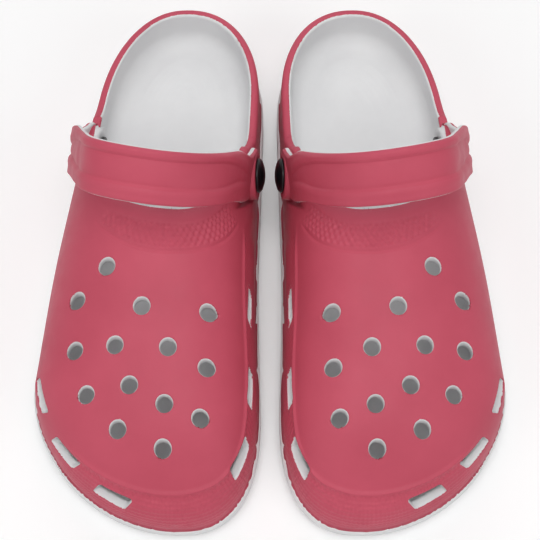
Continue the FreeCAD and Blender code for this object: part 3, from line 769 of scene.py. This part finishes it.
def spread(tree, value, low, high):
    made = tree.nodes.new("ShaderNodeMapRange")
    made.inputs["From Min"].default_value = 0.3
    made.inputs["From Max"].default_value = 0.7
    made.inputs["To Min"].default_value = low
    made.inputs["To Max"].default_value = high
    tree.links.new(value, made.inputs["Value"])
    return made.outputs["Result"]


def bumps(tree, shader, layers):
    """Stack bump layers of (height, depth in metres, strength)."""
    normal = None
    for height, depth, strength in layers:
        made = tree.nodes.new("ShaderNodeBump")
        made.inputs["Distance"].default_value = depth
        made.inputs["Strength"].default_value = strength
        tree.links.new(height, made.inputs["Height"])
        if normal is not None:
            tree.links.new(normal, made.inputs["Normal"])
        normal = made.outputs["Normal"]
    tree.links.new(normal, shader.inputs["Normal"])


def foam_material(name, dark, light, rough, grain_depth):
    """Moulded foam: a fine skin grain, faint clouding and soft scuffs."""
    material, tree, shader, place = node_material(name)
    cloud = noise(tree, place, 28.0, 4.0, 0.55)
    tree.links.new(ramp(tree, cloud, [(0.3, dark), (0.7, light)]), shader.inputs["Base Color"])
    tree.links.new(spread(tree, noise(tree, place, 160.0, 3.0), rough - 0.05, rough + 0.06),
                   shader.inputs["Roughness"])
    shader.inputs["Specular IOR Level"].default_value = 0.22
    grain = noise(tree, place, 1900.0, 2.0)
    pores = noise(tree, place, 520.0, 3.0, 0.6)
    bumps(tree, shader, [(pores, grain_depth, 0.35), (grain, grain_depth * 0.5, 0.4)])
    return material


def plastic_material(name, colour, rough):
    material, tree, shader, place = node_material(name)
    tint = noise(tree, place, 90.0, 3.0)
    lighter = tuple(c * 1.5 for c in colour)
    tree.links.new(ramp(tree, tint, [(0.35, colour), (0.7, lighter)]), shader.inputs["Base Color"])
    tree.links.new(spread(tree, noise(tree, place, 380.0, 3.0), rough - 0.05, rough + 0.08),
                   shader.inputs["Roughness"])
    bumps(tree, shader, [(noise(tree, place, 1400.0, 2.0), 0.00006, 0.4)])
    return material


HINGE_JOINT = [j for j in frame["joints"] if j["name"] == "right_strap_swing"][0]
HINGE = [v / MM for v in HINGE_JOINT["pos_m"]]

PINK = foam_material("pink_layer", (0.53, 0.078, 0.122), (0.59, 0.092, 0.142), 0.50, 0.00010)
WHITE = foam_material("white_foam", (0.76, 0.76, 0.77), (0.82, 0.82, 0.825), 0.52, 0.00012)
BLACK = plastic_material("black_rivet", (0.004, 0.004, 0.005), 0.34)


# ---------------------------------------------------------------- shell and upper layer

def footbed_relief(points, extra, normals):
    """Low curved ridges in the heel of the footbed."""
    floor = step_up(normals[:, 2], 0.93, 0.99) * step_up(points[:, 2] - footbed(points[:, 1]), -1.5, -0.8)
    floor *= 1 - step_up(points[:, 2] - footbed(points[:, 1]), 1.0, 2.0)
    depth = -extra["walls"]
    heel = step_up(points[:, 1], 46, 62)
    ridges = np.zeros(len(points))
    for k in range(4):
        ridges += bell(depth - HEEL_RIDGE_FIRST - HEEL_RIDGE_PITCH * k, HEEL_RIDGE_WIDTH)
    return HEEL_RIDGE_HEIGHT * floor * heel * ridges


def tread_relief(points, normals, extra):
    """Channels moulded across the sole."""
    under = step_up(-normals[:, 2], 0.9, 0.98)
    inner = step_up(-extra["outer"], 7.0, 9.0)
    wave = points[:, 1] + 3.0 * np.sin(points[:, 0] / 9.0)
    channel = step_up(np.abs(((wave / CHANNEL_PITCH) % 1.0) - 0.5), 0.3, 0.4)
    return -CHANNEL_DEPTH * under * inner * channel


def build_shell():
    points, faces = remeshed_shell(1.7)
    for _ in range(2):
        points, extra = onto_surface(points, 2)
        points = relax(points, faces, 0.5)
    points, extra = onto_surface(points, 3)
    base_points, base_faces = points, faces
    # the film: the same surface, refined where it has detail, and cut at the film's border
    for _ in range(3):
        before = len(points)
        target = detail_length(points, extra)
        share = film_share(points, extra)
        target = np.where(share < -1.5, 9.0, target)
        points, faces = refine(points, faces, target)
        if len(points) == before:
            break
        points, extra = onto_surface(points, 2)
    points = relax(points, faces, 0.3)
    points, extra = onto_surface(points, 2)
    share = film_share(points, extra)
    normals = vertex_normals(points, faces)
    raised = points + normals * film_relief(points, extra)[:, None]
    film_points, film_faces = keep_positive(raised, faces, share)
    film_points, film_faces = with_skirt(film_points, film_faces, 1.1)
    print("film triangles", len(film_faces))
    place_pair("upper_film", film_points, film_faces, PINK, "clog", "upper_skin")
    # the foam: lowered under the film
    points, faces = base_points, base_faces
    (value, gradient), extra = clog_field(points)
    share = film_share(points, extra)
    target = np.where(np.abs(share) < 1.0, 1.0, 3.0)
    points, faces = refine(points, faces, target)
    points, extra = onto_surface(points, 2)
    share = film_share(points, extra)
    normals = vertex_normals(points, faces)
    lowered = -FOAM_DROP * step_up(share, 0.15, 0.9)
    lowered += footbed_relief(points, extra, normals) + tread_relief(points, normals, extra)
    points = points + normals * lowered[:, None]
    print("foam triangles", len(faces))
    place_pair("foam_shell", points, faces, WHITE, "clog", "shell")


# ---------------------------------------------------------------- strap

def strap_axis_point(angle, offset):
    """Point of the strap's arch: along the hinge and away from it."""
    half = SEAT_FACE + SEAT_GAP + offset
    height = STRAP_REACH - STRAP_THICKNESS / 2 + offset - LOBE_RADIUS
    across = np.sign(np.cos(angle)) * np.abs(np.cos(angle)) ** (2 / ARCH_POWER)
    return np.stack([half * across, LOBE_RADIUS + height * np.abs(np.sin(angle)) ** (2 / ARCH_POWER)], -1)


def strap_line(step=0.7):
    """The strap's inner face from lobe to lobe, denser at its ends, with each point's place along it."""
    angles = np.linspace(0, np.pi, 4001)
    arch = strap_axis_point(angles, 0.0)
    end = -LOBE_RADIUS
    right = np.stack([np.full(200, arch[0, 0]), np.linspace(end, arch[0, 1], 200, endpoint=False)], 1)
    left = np.stack([np.full(200, arch[-1, 0]), np.linspace(arch[-1, 1], end, 201)[1:]], 1)
    line = np.vstack([right, arch, left])
    run = np.concatenate([[0], np.cumsum(np.linalg.norm(np.diff(line, axis=0), axis=1))])
    count = int(run[-1] / step)
    turn = np.linspace(0, np.pi, count + 1)
    ends_dense = (1 - np.cos(turn)) / 2
    even = np.linspace(0, 1, count + 1)
    share = 0.25 * ends_dense + 0.75 * even
    places = share * run[-1]
    line = np.stack([np.interp(places, run, line[:, 0]), np.interp(places, run, line[:, 1])], 1)
    return line, places, run[-1]


def strap_half_width(up):
    """Half width of the strap at a height above the hinge, seen from the side."""
    half = BAND_WIDTH / 2
    tangent_y, tangent_z = LOBE_RADIUS * math.cos(LOBE_TURN), LOBE_RADIUS * math.sin(LOBE_TURN)
    t = np.linspace(0, 1, 60)
    poles = np.array([(tangent_y, tangent_z), (half, 0.55 * STRAP_NECK), (half, 0.75 * STRAP_NECK),
                      (half, STRAP_NECK)])
    weights = np.stack([(1 - t) ** 3, 3 * t * (1 - t) ** 2, 3 * t * t * (1 - t), t ** 3], 1)
    blend = weights @ poles
    circle = np.sqrt(np.maximum(LOBE_RADIUS ** 2 - up ** 2, 0))
    curve = np.interp(up, blend[:, 1], blend[:, 0])
    return np.where(up < tangent_z, circle, np.where(up > STRAP_NECK, half, curve))


def lay_strap(points):
    """From the strap's own frame (x along the hinge, y to the heel side, z along the strap) to the clog's."""
    c, s = math.cos(STRAP_LEAN), math.sin(STRAP_LEAN)
    x, y, z = points.T
    y, z = y * c - z * s, y * s + z * c
    c, s = math.cos(HINGE_YAW), math.sin(HINGE_YAW)
    return np.stack([x * c - y * s, x * s + y * c, z + HINGE_HEIGHT], 1)


def strap_panel(place, total, y):
    """Relief of the strap's outer face: a sunk panel between rolled borders that merge at the lobes."""
    from_end = np.minimum(place, total - place)
    reach = step_up(from_end, 30, 52)
    centre = (PANEL_LOW + PANEL_HIGH) / 2
    narrow = 0.35 + 0.65 * step_up(from_end, 34, 80)
    panel_half = (PANEL_HIGH - PANEL_LOW) / 2 * narrow
    edge = panel_half - np.abs(y - centre * narrow)
    sunk = -PANEL_SINK * step_up(edge, -0.5, 1.1) * reach
    crease = -PANEL_CREASE * bell(edge - 0.3, PANEL_CREASE_WIDTH) * reach
    roll = BORDER_ROLL * bell(edge + 2.6, BORDER_ROLL_WIDTH) * reach
    swell = 0.25 * bell(edge - panel_half, panel_half * 0.6 + 0.1) * reach
    return sunk + crease + roll + swell


def strap_shape(low, high, inset, edge_round, relief):
    """A closed layer of the strap between two offsets from its inner face, with rounded edges."""
    line, places, total = strap_line()
    tangent = np.gradient(line, axis=0)
    tangent /= np.linalg.norm(tangent, axis=1)[:, None]
    outward = np.stack([tangent[:, 1], -tangent[:, 0]], 1)
    if outward[0, 0] < 0:
        outward = -outward
    across = np.sin(np.linspace(-np.pi / 2, np.pi / 2, 61))
    rings = []
    for k in range(1, len(line) - 1):
        on_arch = float(step_up(line[k, 1], 14.0, 48.0))
        half = max(float(strap_half_width(line[k, 1])) - inset, 0.05) + BAND_WIDENING * on_arch
        y = across * half
        shift = BAND_SHIFT * on_arch
        if line[k, 0] < 0:
            lean_in = float(step_up(line[k, 1], 28.0, 58.0) * (1 - step_up(line[k, 1], 64.0, 84.0)))
        else:
            lean_in = 0.0
        from_edge = half - np.abs(y)
        fall = edge_round - np.sqrt(np.maximum(edge_round ** 2 - np.maximum(edge_round - from_edge, 0) ** 2, 0))
        end_gap = min(places[k], total - places[k])
        squeeze = min(1.0, half / 4.0)
        top = high - fall * squeeze
        if relief:
            top = top + strap_panel(places[k], total, y) * step_up(from_edge, 0.2, 1.8)
        bottom = low + (fall * squeeze if low == 0 else np.zeros(len(fall)))
        y = y + shift
        upper = np.stack([line[k, 0] + outward[k, 0] * top, y, line[k, 1] + outward[k, 1] * top], 1)
        lower = np.stack([line[k, 0] + outward[k, 0] * bottom, y, line[k, 1] + outward[k, 1] * bottom], 1)
        rings.append(np.vstack([upper, lower[::-1]]) + [LATERAL_LEAN_IN * lean_in, 0, 0])
    rings = np.array(rings)
    count, around = rings.shape[:2]
    a = np.arange(count - 1)[:, None] * around + np.arange(around)[None, :]
    b = np.arange(count - 1)[:, None] * around + (np.arange(around)[None, :] + 1) % around
    faces = np.vstack([np.stack([a, b, b + around], -1).reshape(-1, 3),
                       np.stack([a, b + around, a + around], -1).reshape(-1, 3)])
    points = rings.reshape(-1, 3)
    caps = []
    for start, flip in ((0, False), ((count - 1) * around, True)):
        loop = start + np.arange(around)
        fan = np.stack([np.full(around - 2, loop[0]), loop[2:], loop[1:-1]], 1)
        caps.append(fan[:, ::-1] if flip else fan)
    faces = np.vstack([faces] + caps)
    volume = np.sum(np.cross(points[faces[:, 0]], points[faces[:, 1]]) * points[faces[:, 2]])
    if volume < 0:
        faces = faces[:, ::-1]
    return lay_strap(points), faces


def build_strap():
    split = STRAP_THICKNESS - STRAP_FILM
    points, faces = strap_shape(0.0, split - 0.75, 0.0, 0.9, False)
    print("strap foam triangles", len(faces))
    place_pair("strap_foam", points, faces, WHITE, "strap", "heel_strap")
    points, faces = strap_shape(split - 1.5, STRAP_THICKNESS, 0.3, 1.5, True)
    bosses = [strap_boss(sign) for sign in (1, -1)]
    points, faces = joined([(points, faces)] + bosses)
    place_pair("strap_film", points, faces, PINK, "strap", "strap_skin")


def joined(parts):
    points, faces, count = [], [], 0
    for p, f in parts:
        points.append(p)
        faces.append(f + count)
        count += len(p)
    return np.vstack(points), np.vstack(faces)


# ---------------------------------------------------------------- rivets

def lathe(profile, around=72):
    """Turn a closed profile of (along, radius) points about the x axis."""
    profile = np.array(profile, float)
    turn = np.arange(around) * 2 * np.pi / around
    points = np.stack([np.repeat(profile[:, 0], around),
                       np.outer(profile[:, 1], np.cos(turn)).ravel(),
                       np.outer(profile[:, 1], np.sin(turn)).ravel()], 1)
    rows = len(profile)
    a = np.arange(rows - 1)[:, None] * around + np.arange(around)[None, :]
    b = np.arange(rows - 1)[:, None] * around + (np.arange(around)[None, :] + 1) % around
    faces = np.vstack([np.stack([a, b, b + around], -1).reshape(-1, 3),
                       np.stack([a, b + around, a + around], -1).reshape(-1, 3)])
    volume = np.sum(np.cross(points[faces[:, 0]], points[faces[:, 1]]) * points[faces[:, 2]])
    return points, faces if volume > 0 else faces[:, ::-1]


def turn_about(points, axis, angle):
    axis = np.array(axis, float) / np.linalg.norm(axis)
    return (points * math.cos(angle) + np.cross(axis, points) * math.sin(angle)
            + np.outer(points @ axis, axis) * (1 - math.cos(angle)))


def canted(points, faces, sign):
    """A shape turned about +x, put on the medial (1) or lateral (-1) rivet boss."""
    points = points * [sign, 1, 1]
    if sign < 0:
        faces = faces[:, ::-1]
    lean = np.array([0, math.sin(BOSS_CLOCK[sign]), math.cos(BOSS_CLOCK[sign])])
    axis = np.cross([sign, 0, 0], lean)
    points = turn_about(points, axis, BOSS_CANT)
    face = SEAT_FACE + SEAT_GAP + STRAP_THICKNESS + BOSS_RADIUS * math.tan(BOSS_CANT)
    return lay_strap(points + [sign * face, 0, 0]), faces


def round_corner(centre_x, centre_r, radius, start, end, steps=8):
    turn = np.radians(np.linspace(start, end, steps + 1))
    return [(centre_x + radius * math.cos(t), centre_r + radius * math.sin(t)) for t in turn]


def strap_boss(sign):
    """The round pad of the strap that the rivet head sits on, with a shallow seat."""
    profile = [(-4.6, 0.01), (-4.6, BOSS_RADIUS + 0.5), (-2.6, BOSS_RADIUS + 0.2)]
    profile += round_corner(-1.4, BOSS_RADIUS - 1.4, 1.4, 70, 0)
    profile += [(0.0, 9.6), (-0.35, 9.2), (-0.35, 0.01)]
    points, faces = lathe(profile, 96)
    return canted(points, faces, sign)


def rivet_cap(sign):
    """A domed head with a rolled edge and a shallow ring, on its hollow barrel."""
    radius, edge, dome = 8.7, 1.5, 3.6
    crest = dome - edge
    ball = (radius ** 2 + crest ** 2) / (2 * crest)
    profile = [(-6.0, 0.01), (-6.0, 3.6), (-0.3, 3.6), (-0.3, radius - 0.5)]
    profile += [(0.0, radius - 0.12), (0.25, radius)]
    profile += round_corner(edge - 1.0, radius - 1.0, 1.0, 90, 35, 6)
    for r in np.linspace(radius - 1.25, 0.01, 26):
        ring = -0.14 * math.exp(-((r - 6.0) / 0.35) ** 2)
        profile.append((dome - ball + math.sqrt(ball ** 2 - r * r) + ring - 0.02, r))
    points, faces = lathe(profile)
    return canted(points, faces, sign)


def rivet_stud(sign):
    """The flat inner head, with a rolled edge and a dished middle."""
    radius, thickness = 7.2, 1.8
    tip = INNER_FACE - 0.3
    profile = [(tip + 5.0, 0.01), (tip + 5.0, 1.85), (tip, 1.85), (tip, radius - 0.3), (tip - 0.3, radius)]
    profile += [(tip - thickness + 0.7, radius)]
    profile += [(tip - thickness + 0.7 - 0.7 * math.sin(t), radius - 0.7 + 0.7 * math.cos(t))
                for t in np.radians(np.linspace(10, 90, 7))]
    profile += [(tip - thickness, 5.2), (tip - thickness + 0.35, 4.7), (tip - thickness + 0.35, 1.2),
                (tip - thickness + 0.15, 0.01)]
    points, faces = lathe(profile)
    points = points * [sign, 1, 1]
    if sign < 0:
        faces = faces[:, ::-1]
    return lay_strap(points), faces


def build_rivets():
    for word, sign in (("medial", 1), ("lateral", -1)):
        points, faces = rivet_cap(sign)
        place_pair(word + "_cap", points, faces, BLACK, "strap", word + "_rivet_cap")
        points, faces = rivet_stud(sign)
        place_pair(word + "_stud", points, faces, BLACK, "strap", word + "_rivet_stud")


build_shell()
build_strap()
build_rivets()


# ---------------------------------------------------------------- stage

def floor_material():
    material, tree, shader, place = node_material("floor")
    cloud = noise(tree, place, 1.5, 2.0)
    tree.links.new(ramp(tree, cloud, [(0.2, (0.93, 0.93, 0.93)), (0.8, (0.95, 0.95, 0.95))]),
                   shader.inputs["Base Color"])
    shader.inputs["Roughness"].default_value = 0.9
    path = tree.nodes.new("ShaderNodeLightPath")
    glow = tree.nodes.new("ShaderNodeEmission")
    glow.inputs["Color"].default_value = (1, 1, 1, 1)
    scale = tree.nodes.new("ShaderNodeMath")
    scale.operation = "MULTIPLY"
    scale.inputs[1].default_value = 0.12
    seen = tree.nodes.new("ShaderNodeMath")
    seen.operation = "MAXIMUM"
    tree.links.new(path.outputs["Is Camera Ray"], seen.inputs[0])
    tree.links.new(path.outputs["Is Glossy Ray"], seen.inputs[1])
    tree.links.new(seen.outputs[0], scale.inputs[0])
    tree.links.new(scale.outputs[0], glow.inputs["Strength"])
    total = tree.nodes.new("ShaderNodeAddShader")
    output = [n for n in tree.nodes if n.type == "OUTPUT_MATERIAL"][0]
    tree.links.new(shader.outputs["BSDF"], total.inputs[0])
    tree.links.new(glow.outputs["Emission"], total.inputs[1])
    tree.links.new(total.outputs[0], output.inputs["Surface"])
    return material


def add_floor():
    size = 6.0
    mesh = bpy.data.meshes.new("floor")
    mesh.from_pydata([(-size, -size, 0), (size, -size, 0), (size, size, 0), (-size, size, 0)], [], [(0, 1, 2, 3)])
    mesh.materials.append(floor_material())
    floor = bpy.data.objects.new("floor", mesh)
    bpy.context.scene.collection.objects.link(floor)


def add_light(name, place, aim, size, power):
    lamp = bpy.data.lights.new(name, "AREA")
    lamp.shape = "DISK"
    lamp.size = size
    lamp.energy = power
    made = bpy.data.objects.new(name, lamp)
    made.location = place
    made.rotation_euler = (Vector(aim) - Vector(place)).to_track_quat("-Z", "Y").to_euler()
    bpy.context.scene.collection.objects.link(made)


def add_lights_and_camera():
    scene = bpy.context.scene
    world = bpy.data.worlds.new("studio")
    scene.world = world
    world.use_nodes = True
    tree = world.node_tree
    tree.nodes.clear()
    output = tree.nodes.new("ShaderNodeOutputWorld")
    light = tree.nodes.new("ShaderNodeBackground")
    light.inputs["Color"].default_value = (1, 1, 1, 1)
    light.inputs["Strength"].default_value = 0.42
    seen = tree.nodes.new("ShaderNodeBackground")
    seen.inputs["Color"].default_value = (1, 1, 1, 1)
    seen.inputs["Strength"].default_value = 1.0
    path = tree.nodes.new("ShaderNodeLightPath")
    mix = tree.nodes.new("ShaderNodeMixShader")
    tree.links.new(path.outputs["Is Camera Ray"], mix.inputs["Fac"])
    tree.links.new(light.outputs[0], mix.inputs[1])
    tree.links.new(seen.outputs[0], mix.inputs[2])
    tree.links.new(mix.outputs[0], output.inputs["Surface"])
    add_light("overhead", (0.0, -0.35, 1.6), (0, 0.0, 0), 1.0, 9.5)
    add_light("back", (0.0, 1.1, 1.3), (0, 0, 0.03), 1.0, 3.5)
    add_light("front_left", (-1.1, -0.9, 1.2), (0, 0, 0.03), 0.9, 3.0)
    add_light("front_right", (1.1, -0.9, 1.2), (0, 0, 0.03), 0.9, 2.6)
    camera = bpy.data.cameras.new("camera")
    camera.lens = 80
    camera.sensor_width = 36
    made = bpy.data.objects.new("camera", camera)
    place, aim = Vector((0, -0.2659, 0.5946)), Vector((0, -0.01085, 0.035))
    made.location = place
    made.rotation_euler = (aim - place).to_track_quat("-Z", "Y").to_euler()
    scene.collection.objects.link(made)
    scene.camera = made
    scene.view_settings.view_transform = "Standard"


add_floor()
add_lights_and_camera()
